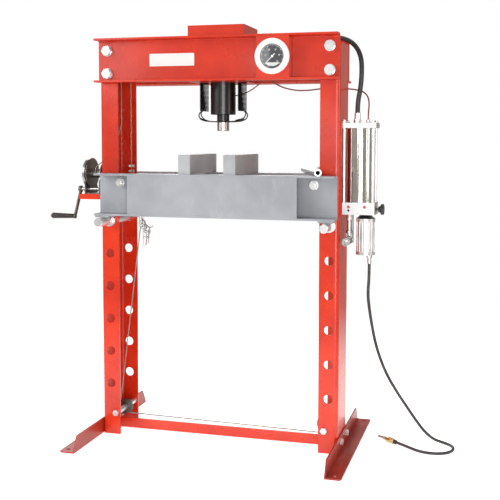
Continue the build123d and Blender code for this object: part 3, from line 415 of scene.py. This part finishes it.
# %% [markdown]
# ## Cable
# Steel cable is six strands laid round a core. Where it runs straight, the twist is real shape.
# Where it is bent round a pulley, diagonal bands in the bump give the same look for less.

# %% Cable finish
cable_steel = Finish("steel cable", metallic=1.0)
lay = cable_steel.node("ShaderNodeTexWave", {"bands_direction": "DIAGONAL"},
                       {"Vector": cable_steel.place, "Scale": 110.0, "Distortion": 0.4}, "Fac")
cable_steel.set("Base Color", cable_steel.mix(lay, (0.22, 0.21, 0.2), (0.62, 0.61, 0.59)))
cable_steel.set("Roughness", 0.32 + cable_steel.noise(120, 3) * 0.2)
cable_steel.bump(lay, 0.0006, 0.8)

# %% [markdown]
# ## Dial
# A pressure dial is a printed disc: a ring of fine marks with a longer one at each step, and a
# pale lower part. The marks are polar, so the angle and the distance from the dial's centre are
# worked out from the coordinates, and each mark is where both are inside narrow limits.

# %% Dial finish
dial_low, dial_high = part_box("gauge_dial")
DIAL_X = (dial_low[0] + dial_high[0]) / 2
DIAL_Z = (dial_low[2] + dial_high[2]) / 2
DIAL_RADIUS = (dial_high[0] - dial_low[0]) / 2
DIAL_FRONT = dial_low[1]
dial = Finish("printed dial", coat_weight=0.5)
x, _, z = dial.axes()
across, up = x - DIAL_X, z - DIAL_Z
SWEEP = math.radians(270)
reach = across.math("SQRT", across * across + up * up) / DIAL_RADIUS
angle = across.math("ARCTAN2", across, up) / SWEEP
in_sweep = (angle > -0.502) * (angle < 0.502)
fine = ((angle + 0.5) * 50 + 0.5) % 1
coarse = ((angle + 0.5) * 10 + 0.5) % 1
fine_marks = (fine > 0.42) * (fine < 0.58) * (reach > 0.87)
coarse_marks = (coarse > 0.47) * (coarse < 0.53) * (reach > 0.8)
marks = (fine_marks + coarse_marks) > 0.5
rim_line = (reach > 0.93) * (reach < 0.945)
print_mask = (marks * in_sweep * (reach < 0.94) + rim_line * in_sweep) > 0.5
low_part = (up < -0.5 * DIAL_RADIUS) * (reach < 0.8)
dial_ground = dial.mix(low_part, (0.055, 0.06, 0.07), (0.7, 0.7, 0.7))
dial.set("Base Color", dial.mix(print_mask, dial_ground, (0.75, 0.76, 0.76)))
dial.set("Roughness", 0.3 + dial.noise(60, 2) * 0.1)
print("dial", round(DIAL_RADIUS * 2000), "mm across")

# %% [markdown]
# ## Finishes on the solid parts
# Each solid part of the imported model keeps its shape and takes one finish.

# %% Give the solid parts their finishes
FINISHES = {
    red_paint: ["post_left", "post_right", "crown_front", "crown_rear", "ram_housing",
                "gauge_bracket", "tie_bar", "welded_brackets"],
    shaded_foot_paint: ["foot_left", "foot_right"],
    grey_paint: ["bed_front", "bed_rear", "bed_cover_plate", "saddle_pads"],
    block_paint: ["press_block_left", "press_block_right"],
    black_paint: ["cylinder_barrel", "cylinder_gland", "ram", "return_yoke", "motor_flange"],
    white_paint: ["name_plate", "gauge_needle"],
    case_white: ["gauge_case"],
    dial: ["gauge_dial"],
    zinc_plate: ["frame_bolts", "pulley_axles", "bed_guides", "bed_pin_left", "bed_pin_right",
                 "pump_tie_rods", "cable_anchor", "pump_fittings"],
    turned_steel: ["ram_nose", "pump_lever", "pump_plunger", "winch_pinion"],
    handle_steel: ["pump_handle"],
    pulley_iron: ["top_pulley_left", "top_pulley_right", "bottom_pulley_left",
                  "bottom_pulley_right"],
    dull_zinc: ["winch_frame", "winch_drum"],
    gear_steel: ["winch_gear"],
    crank_steel: ["crank_arm"],
    grip_brown: ["crank_grip"],
    knob_black: ["release_knob"],
    aluminium: ["pump_block", "pump_top_plate", "air_motor"],
    tank_chrome: ["pump_tank"],
    hose_rubber: ["hydraulic_hose"],
    air_rubber: ["air_hose"],
    line_brown: ["return_line"],
    brass: ["hose_coupling"],
    spring_black: ["return_springs"],
    cable_steel: ["lift_cables", "pull_cable", "fixed_cables"],
}
for finish, names in FINISHES.items():
    for name in names:
        part_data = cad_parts[name].data
        part_data.materials.clear()
        part_data.materials.append(finish.data)
print(sum(map(len, FINISHES.values())), "solid parts have a finish")

# %% [markdown]
# ## Finishes on the hoses
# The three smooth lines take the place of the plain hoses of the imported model. They are fixed
# to the frame, so they ride on it.

# %% Put the hoses on the frame
for shape, finish, node, slot_name in (
    (air_hose, air_rubber, "air_hose", "hose_rubber"),
    (pressure_hose, hose_rubber, "hydraulic_hose", "hose_rubber"),
    (oil_line, line_brown, "return_line", "line_brown"),
):
    shape.data.materials.append(finish.data)
    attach(shape, "frame")
    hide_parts(node)
    print(shape.name, "takes the place of", node)

# %% [markdown]
# ## Helpers for new pieces
# A new piece starts as a few vertices in a bmesh. Spinning an outline gives anything that a
# lathe would turn, and spinning a small ring with a step along the axis gives a coil or a
# twisted strand.

# %% Helpers for new pieces


def keep(bm, name, finish, body, replaced=(), smooth=True):
    """Turn a finished bmesh into an object that rides on a body."""
    bmesh.ops.remove_doubles(bm, verts=bm.verts[:], dist=1e-6)
    bmesh.ops.recalc_face_normals(bm, faces=bm.faces[:])
    for face in bm.faces:
        face.smooth = smooth
    mesh = bpy.data.meshes.new(name)
    bm.to_mesh(mesh)
    bm.free()
    mesh.materials.append(finish.data)
    if smooth:
        mesh.set_sharp_from_angle(angle=math.radians(35))
    made = bpy.data.objects.new(name, mesh)
    bpy.context.scene.collection.objects.link(made)
    if body:
        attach(made, body)
    if replaced:
        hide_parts(*replaced)
    print(name, len(mesh.polygons), "faces")
    return made


def facing(axis):
    """A turn that takes the Z axis to another axis."""
    return Vector((0, 0, 1)).rotation_difference(Vector(axis)).to_matrix().to_4x4()


def turned(bm, place, axis, outline, steps=40):
    """Spin an outline of (radius, height) round an axis through a place, all in metres."""
    before = set(bm.verts)
    spots = [bm.verts.new((radius, 0, height)) for radius, height in outline]
    edges = [bm.edges.new(pair) for pair in zip(spots, spots[1:])]
    bmesh.ops.spin(bm, geom=spots + edges, cent=(0, 0, 0), axis=(0, 0, 1), angle=math.tau,
                   steps=steps, use_merge=True, use_duplicate=False)
    made = [v for v in bm.verts if v not in before]
    bmesh.ops.transform(bm, matrix=Matrix.Translation(place) @ facing(axis), verts=made)


def prism(bm, place, axis, radius, height, sides, bevel=0.0):
    """A straight prism with a flat-sided or round section, its edges bevelled."""
    made = bmesh.ops.create_cone(bm, cap_ends=True, cap_tris=False, segments=sides, radius1=radius,
                                 radius2=radius, depth=height)["verts"]
    bmesh.ops.translate(bm, verts=made, vec=(0, 0, height / 2))
    if bevel:
        edges = list(dict.fromkeys(e for v in made for e in v.link_edges))
        result = bmesh.ops.bevel(bm, geom=edges, offset=bevel, offset_type="OFFSET", affect="EDGES",
                                 segments=2, profile=0.5, material=-1, clamp_overlap=True)
        made = [v for f in result["faces"] for v in f.verts] + [v for v in made if v.is_valid]
        made = list(dict.fromkeys(made))
    bmesh.ops.transform(bm, matrix=Matrix.Translation(place) @ facing(axis), verts=made)


def coil(bm, place, ring, step_up, turns, steps):
    """Sweep a closed ring of vertices round the Z axis through a place, rising at each step."""
    spots = [bm.verts.new(Vector(place) + Vector(spot)) for spot in ring]
    edges = [bm.edges.new((a, b)) for a, b in zip(spots, spots[1:] + spots[:1])]
    bm.faces.new(spots)
    result = bmesh.ops.spin(bm, geom=[*spots, *edges], cent=place, axis=(0, 0, 1),
                            dvec=(0, 0, step_up), angle=math.tau * turns, steps=steps,
                            use_duplicate=False)
    last = [e for e in result["geom_last"] if isinstance(e, bmesh.types.BMEdge)]
    bmesh.ops.contextual_create(bm, geom=last)


# %% [markdown]
# ## Return springs
# Two close-wound springs pull the ram back up. Each is a wire ring swept round a helix. The
# lower ends hook onto the ram and the upper ends are held in the crown.

# %% Return springs
SPRING_X = 83 * MM
SPRING_LOW, SPRING_HIGH = 1.381, 1.610
WIRE = 2 * MM
COIL_RADIUS = 19.5 * MM - WIRE
COIL_PITCH = 5.2 * MM
springs = bmesh.new()
for side in (-1, 1):
    ring = [
        (COIL_RADIUS + WIRE * math.cos(a), 0, WIRE * math.sin(a))
        for a in (math.tau * i / 8 for i in range(8))
    ]
    turns = (SPRING_HIGH - SPRING_LOW - 2 * WIRE) / COIL_PITCH
    steps = round(turns * 22)
    foot = (side * SPRING_X, 0, SPRING_LOW + WIRE)
    coil(springs, foot, ring, COIL_PITCH * turns / steps, turns, steps)
spring_piece = keep(
    springs, "return_spring_coils", spring_black, None, ["return_springs"]
)
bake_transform(spring_piece)

# %% [markdown]
# ## Spring yoke
# The springs pull on the ram through a bent wire loop that lies in a groove of the ram and
# curls up at both ends into the springs. A bent wire is a curve with a round section. A thicker
# hook lies along the loop's front below each spring.

# %% Spring yoke
YOKE_HALF_LOOP = [
    (0, -26, 1338.5), (36, -26, 1338.5), (70, -26, 1341), (90, -24, 1348), (101, -19, 1360),
    (102, -10, 1373), (95, -3, 1382), (83, 0, 1388),
]
HOOK = [(62, -27, 1342), (70, -26, 1344), (78, -24, 1346), (88, -21, 1348), (95, -16, 1352)]
WIRE_RADIUS, HOOK_RADIUS = 2.5 * MM, 4.2 * MM


def bent_wire(name, points, radius, finish, body):
    """A bent wire that rides on a body."""
    wire = smooth_line(name, points, radius, 3)
    wire.data.materials.append(finish.data)
    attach(wire, body)
    print(name, len(points), "points")
    return wire


for front in (1, -1):
    near = [(-x, front * y, z) for x, y, z in reversed(YOKE_HALF_LOOP)]
    far = [(x, front * y, z) for x, y, z in YOKE_HALF_LOOP[1:]]
    word = "front" if front > 0 else "rear"
    name = f"yoke_wire_{word}"
    bent_wire(name, near + far, WIRE_RADIUS, black_paint, "ram")
for side, word in ((-1, "left"), (1, "right")):
    points = [(side * x, y, z) for x, y, z in HOOK]
    bent_wire(f"yoke_hook_{word}", points, HOOK_RADIUS, spring_black, "ram")
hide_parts("return_yoke")

# %% [markdown]
# ## Gauge pipe
# A thin pipe takes the cylinder's pressure to the back of the gauge. It comes out of the
# cylinder behind the right spring and climbs behind the crown's front channel.

# %% Gauge pipe
GAUGE_PIPE = [
    (48, 22, 1448), (70, 26, 1452), (96, 24, 1460), (126, 14, 1474), (152, -4, 1489),
    (180, -24, 1506), (206, -44, 1530), (232, -62, 1560), (249, -78, 1584), (252.5, -100, 1591),
    (252.5, -116, 1591),
]
bent_wire("gauge_pipe", GAUGE_PIPE, 2.4 * MM, line_brown, "frame")

# %% [markdown]
# ## Cables
# The straight runs are real twisted strands: a six-lobed ring swept up and turned a little at
# each step. A lifting cable is fixed to the frame at its top and to the bed at its foot. The long
# run behind the bed is slightly out of upright, so it is made upright and then turned into its
# place.

# %% Cables
CABLE = 2.5 * MM
LAY_LENGTH = 34 * MM


def strands(bm, low, high):
    """Six-strand cable between two points."""
    low, high = Vector(low), Vector(high)
    run = high - low
    ring = []
    for a in (math.tau * i / 24 for i in range(24)):
        lobe = CABLE * (0.86 + 0.14 * math.cos(6 * a))
        ring.append((lobe * math.cos(a), lobe * math.sin(a), 0))
    steps = round(run.length / LAY_LENGTH * 9)
    before = set(bm.verts)
    coil(bm, (0, 0, 0), ring, run.length / steps, run.length / LAY_LENGTH, steps)
    made = [v for v in bm.verts if v not in before]
    bmesh.ops.transform(bm, matrix=Matrix.Translation(low) @ facing(run.normalized()), verts=made)


lift_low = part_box("lift_cables")[0][2]
LIFT_X = 415 * MM
TOP_PULLEY = 1.560
lift = bmesh.new()
for side in (-1, 1):
    strands(lift, (side * LIFT_X, 0, lift_low), (side * LIFT_X, 0, TOP_PULLEY))
lift_piece = keep(lift, "lift_cable_strands", cable_steel, None, ["lift_cables"])
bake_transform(lift_piece)

ANCHOR = (-0.374, 0, 0.898)
LOW_PULLEY = (-0.478, 0, 0.094)
pull = bmesh.new()
strands(pull, LOW_PULLEY, ANCHOR)
pull_piece = keep(pull, "pull_cable_strands", cable_steel, None, ["pull_cable"])
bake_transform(pull_piece)

# %% [markdown]
# ## Cable clips
# Each cable end is folded back round a bolt and held by wire-rope clips: a forged saddle and a
# U-bolt with two nuts. They are small, so a plain block, two short screws and two nuts are enough.

# %% Cable clips
LIFT_CLIP_Z = (1.128, 1.150)
clips = bmesh.new()


def clip(place):
    """One wire-rope clip round the cable at a place."""
    x, y, z = place
    bmesh.ops.transform(
        clips, matrix=Matrix.Translation((x, y, z)) @ Matrix.Diagonal((0.011, 0.006, 0.0055, 1)),
        verts=bmesh.ops.create_cube(clips, size=2)["verts"],
    )
    for side in (-1, 1):
        prism(clips, (x + side * 0.007, y - 0.014, z), (0, 1, 0), 0.0022, 0.026, 12)
        prism(clips, (x + side * 0.007, y - 0.0112, z), (0, 1, 0), 0.0046, 0.0045, 6)


for side in (-1, 1):
    for height in LIFT_CLIP_Z:
        clip((side * LIFT_X, 0, height))
for height in (0.895, 0.91):
    clip((-0.3655, 0, height))

# %% [markdown]
# ## Loose cable tails
# Where the hauling cable is fixed below the bed, its end is folded back through an eye and the
# spare length hangs in a few loose bends.

# %% Loose cable tails
TAILS = [
    [(-374, 0, 930), (-366, -3, 905), (-358, -6, 880), (-350, -4, 862), (-340, -2, 852),
     (-330, -4, 860), (-328, -6, 876), (-337, -4, 890), (-350, -2, 893), (-360, 0, 884)],
    [(-372, 3, 930), (-362, 4, 900), (-352, 2, 874), (-344, 0, 850), (-346, -2, 828),
     (-350, -2, 808)],
    [(-368, -4, 925), (-352, -8, 905), (-338, -8, 890), (-322, -6, 884), (-316, -6, 894)],
]
for index, points in enumerate(TAILS):
    bent_wire(f"cable_tail_{index}", points, 2.2 * MM, cable_steel, "bed")
for place in ((-0.356, -0.004, 0.886), (-0.345, -0.003, 0.868), (-0.3475, -0.001, 0.845)):
    clip(place)

# %% Keep the clips
keep(clips, "cable_clips", zinc_plate, "bed", smooth=False)

# %% [markdown]
# ## Weld beads
# The cover plate and brackets are stitch-welded. A bead is a row of overlapping puddles, so
# each is a row of small balls of slightly different sizes.

# %% Weld beads
random.seed(4)
STITCH = 3 * MM
SHELF_FOOT, SHELF_TOP = 1.001, 1.03
PUMP_BRACKET_Z = (0.966, 1.328)
beads = bmesh.new()
bed_beads = bmesh.new()


def bead(bm, start, end, radius=0.0035):
    """A row of weld puddles from one point to another."""
    start, end = Vector(start), Vector(end)
    count = max(2, round((end - start).length / (radius * 0.9)))
    for i in range(count + 1):
        spot = start.lerp(end, i / count)
        size = radius * random.uniform(0.85, 1.1)
        ball = bmesh.ops.create_uvsphere(bm, u_segments=8, v_segments=5, radius=size)["verts"]
        bmesh.ops.translate(bm, vec=spot, verts=ball)


cover_low, cover_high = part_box("bed_cover_plate")
bead_y = cover_low[1] + 0.002
for left, right in ((-358, -295), (-92, -44), (127, 172), (318, 358)):
    for height in (cover_low[2], cover_high[2]):
        bead(bed_beads, (left * MM, bead_y, height), (right * MM, bead_y, height))
keep(bed_beads, "bed_welds", grey_paint, "bed")

housing_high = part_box("ram_housing")[1]
crown_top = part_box("crown_front")[1][2]
for side in (-1, 1):
    edge = side * housing_high[0]
    for front in (-1, 1):
        height = crown_top + 0.004
        bead(beads, (edge, front * 0.1, height), (edge, front * 0.06, height), 0.002)
    height = crown_top + 0.001
    bead(beads, (side * 0.12, -0.108, height), (side * 0.06, -0.1075, height), STITCH)
for y in (-0.08, 0.08):
    bead(beads, (-0.5135, y, SHELF_FOOT), (-0.5135, y, SHELF_TOP), STITCH)
bead(beads, (-0.514, -0.078, 1.031), (-0.514, 0.078, 1.031), STITCH)
for z in PUMP_BRACKET_Z:
    bead(beads, (0.513, -0.09, z), (0.513, 0.01, z), STITCH)
keep(beads, "frame_welds", red_paint, "frame")

# %% [markdown]
# ## Dial numbers
# Numbers are generic, so they may be printed. Text becomes a mesh before it is put in place.

# %% Dial numbers
NUMBER_RING = 0.0285
numbers = bmesh.new()
for i in range(6):
    text = bpy.data.curves.new("number", "FONT")
    text.body = str(i * 10)
    text.size = 0.0085
    text.align_x = "CENTER"
    text.align_y = "CENTER"
    holder = bpy.data.objects.new("number", text)
    flat = bpy.data.meshes.new_from_object(holder)
    turn_here = math.radians(-135 + 270 * i / 5)
    spot = Vector((
        DIAL_X + NUMBER_RING * math.sin(turn_here),
        DIAL_FRONT - 0.0003,
        DIAL_Z + NUMBER_RING * math.cos(turn_here),
    ))
    flat.transform(Matrix.Translation(spot) @ Matrix.Rotation(math.radians(90), 4, "X"))
    numbers.from_mesh(flat)
    bpy.data.meshes.remove(flat)
    bpy.data.objects.remove(holder)
    bpy.data.curves.remove(text)
number_mesh = bpy.data.meshes.new("dial_numbers")
numbers.to_mesh(number_mesh)
numbers.free()
number_mesh.materials.append(white_paint.data)
number_piece = bpy.data.objects.new("dial_numbers", number_mesh)
bpy.context.scene.collection.objects.link(number_piece)
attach(number_piece, "frame")
print("dial_numbers", len(number_mesh.polygons), "faces")

# %% [markdown]
# ## Pump plugs
# Two red plugs close the oil ports in the front of the pump block, with a dark sight hole
# below the left one. Each plug is turned from a short outline.

# %% Pump plugs
block_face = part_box("pump_block")[0][1]
plugs = bmesh.new()
PLUG_OUTLINE = [
    (0, -0.002), (0.0058, -0.002), (0.0058, 0), (0.0052, 0.0025), (0.003, 0.0035), (0, 0.0035),
]
for x in (0.547, 0.611):
    turned(plugs, (x, block_face, 1.0), (0, -1, 0), PLUG_OUTLINE, 28)
keep(plugs, "pump_plugs", plug_red, "frame")
sight = bmesh.new()
SIGHT_OUTLINE = [
    (0, -0.002), (0.0046, -0.002), (0.0046, 0), (0.0038, 0.0024), (0.0026, 0.001), (0, 0.001),
]
turned(sight, (0.547, block_face, 0.986), (0, -1, 0), SIGHT_OUTLINE, 24)
keep(sight, "pump_sight", knob_black, "frame")

# %% [markdown]
# ## Hose coupling
# The air hose ends in a quick coupling: a dark ferrule on the hose, a knurled brass sleeve and
# a plain steel nipple. Each part is turned from its own outline, so each can have its finish.

# %% Hose coupling
hose_end, hose_before = (Vector(AIR_HOSE[i]) * MM for i in (-1, -2))
coupling_axis = (hose_end - hose_before).normalized()
COUPLING_PARTS = {
    "coupling_ferrule": (knob_black, [(0, 0), (8, 0), (9, 1), (9, 11), (8, 12), (0, 12)]),
    "coupling_sleeve": (brass, [(0, 12), (10, 12), (12, 14), (12, 22), (11, 23), (11, 26), (12, 27),
                                (12, 43), (10, 46), (9, 46), (9, 54), (0, 54)]),
    "coupling_nipple": (turned_steel, [(0, 54), (5.5, 54), (5.5, 60), (8, 60), (8, 61), (5.5, 61),
                                       (5.5, 84), (4.5, 88), (0, 88)]),
}
for name, (finish, outline) in COUPLING_PARTS.items():
    part = bmesh.new()
    turned(part, hose_end, coupling_axis, [(r * MM, h * MM) for r, h in outline], 32)
    keep(part, name, finish, "frame")
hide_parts("hose_coupling")

# %% [markdown]
# ## Plunger and lever details
# The pump's plunger is a stack: a gland nut under the block, a guide collar and the forked
# head. The socket for the handle has a rolled rim. All are turned.

# %% Plunger and lever details
LEVER_SPOT = Vector((0.545, -0.014, 0.864))
PLUNGER_Y = -0.050
gland = bmesh.new()
prism(gland, (LEVER_SPOT.x, PLUNGER_Y, 0.9565), (0, 0, 1), 0.0165, 0.0122, 6, 0.0008)
turned(gland, Vector((LEVER_SPOT.x, PLUNGER_Y, 0.944)), (0, 0, 1),
       [(0.0112, 0), (0.013, 0), (0.0135, 0.002), (0.0135, 0.0125), (0.0112, 0.0125), (0.0112, 0)])
keep(gland, "plunger_gland", zinc_plate, "frame")
collar = bmesh.new()
turned(collar, Vector((LEVER_SPOT.x, PLUNGER_Y, 0.893)), (0, 0, 1),
       [(0.0095, 0), (0.0125, 0), (0.014, 0.002), (0.014, 0.009), (0.0125, 0.011), (0.0095, 0.011)])
keep(collar, "plunger_collar", turned_steel, "pump_plunger")
rim = bmesh.new()
turned(rim, Vector((LEVER_SPOT.x, -0.130, LEVER_SPOT.z)), (0, -1, 0),
       [(0.0086, -0.003), (0.0152, -0.003), (0.0166, -0.001), (0.0166, 0.001), (0.015, 0.0025),
        (0.0105, 0.0025), (0.0086, 0.001), (0.0086, -0.003)])
keep(rim, "socket_rim", turned_steel, "pump_lever")

# %% [markdown]
# ## Studio
# A pale floor and wide soft lights show the red without hard shadows. The white surroundings
# are what the polished tank mirrors.

# %% Studio
FLOOR_FADE = 3.2
floor_bm = bmesh.new()
bmesh.ops.create_grid(floor_bm, x_segments=1, y_segments=1, size=14)
floor_mesh = bpy.data.meshes.new("floor")
floor_bm.to_mesh(floor_mesh)
floor_bm.free()
floor_finish = Finish("studio floor", roughness=0.9)
floor_finish.shader.inputs["Specular IOR Level"].default_value = 0.0
floor_finish.shader.inputs["Emission Color"].default_value = (1, 1, 1, 1)
floor_finish.shader.inputs["Emission Strength"].default_value = 0.8
spot_x, spot_y, _ = floor_finish.axes()
spread = spot_x.math("SQRT", spot_x * spot_x + spot_y * spot_y)
floor_finish.set("Alpha", floor_finish.ramp(spread / FLOOR_FADE, (0.35, 1), (1, 0)))
pale = floor_finish.mix(floor_finish.noise(2, 2), (0.93, 0.93, 0.93), (0.96, 0.96, 0.96))
floor_finish.set("Base Color", pale)
floor_mesh.materials.append(floor_finish.data)
floor = bpy.data.objects.new("floor", floor_mesh)
floor.location = (0, 0, -0.0005)
bpy.context.scene.collection.objects.link(floor)

world = bpy.data.worlds.new("studio")
bpy.context.scene.world = world
world.use_nodes = True
tree = world.node_tree
tree.nodes.clear()


def backdrop(colour, strength):
    """A plain background shader."""
    made = tree.nodes.new("ShaderNodeBackground")
    made.inputs["Color"].default_value = (*colour, 1)
    made.inputs["Strength"].default_value = strength
    return made.outputs[0]


rays = tree.nodes.new("ShaderNodeLightPath")
choice = tree.nodes.new("ShaderNodeMixShader")
tree.links.new(rays.outputs["Is Camera Ray"], choice.inputs[0])
tree.links.new(backdrop((1, 0.94, 0.86), 0.34), choice.inputs[1])
tree.links.new(backdrop((1, 1, 1), 1.0), choice.inputs[2])
tree.links.new(choice.outputs[0], tree.nodes.new("ShaderNodeOutputWorld").inputs[0])


def soft_light(name, place, target, size, power, tint=(1, 1, 1)):
    """A square area light that faces a target."""
    data = bpy.data.lights.new(name, "AREA")
    data.size = size
    data.energy = power
    data.color = tint
    light = bpy.data.objects.new(name, data)
    light.location = place
    light.rotation_euler = (Vector(target) - Vector(place)).to_track_quat("-Z", "Y").to_euler()
    bpy.context.scene.collection.objects.link(light)


soft_light("key", (-4.0, -3.6, 3.2), (0, 0, 1.0), 2.2, 150)
soft_light("card", (2.2, -6.2, 0.9), (0.5, 0, 1.1), 2.8, 190)
soft_light("fill", (4.2, -0.6, 1.8), (0.3, 0, 1.0), 2.0, 40, (1, 0.95, 0.88))
soft_light("top", (0, 0.2, 4.6), (0, 0, 0), 2.6, 40)
soft_light("back", (-1.5, 3.6, 2.6), (0, 0, 0.8), 2.4, 60)
soft_light("window_left", (-2.1, -3.7, 1.9), (-0.4, 0, 1.6), 0.5, 3.5)
soft_light("window_middle", (-0.8, -3.7, 1.9), (0.18, 0, 1.58), 0.2, 1.0)
soft_light("window_right", (-0.25, -3.7, 1.35), (0.47, 0, 1.3), 0.4, 2.2)
bpy.context.scene.view_settings.view_transform = "Standard"
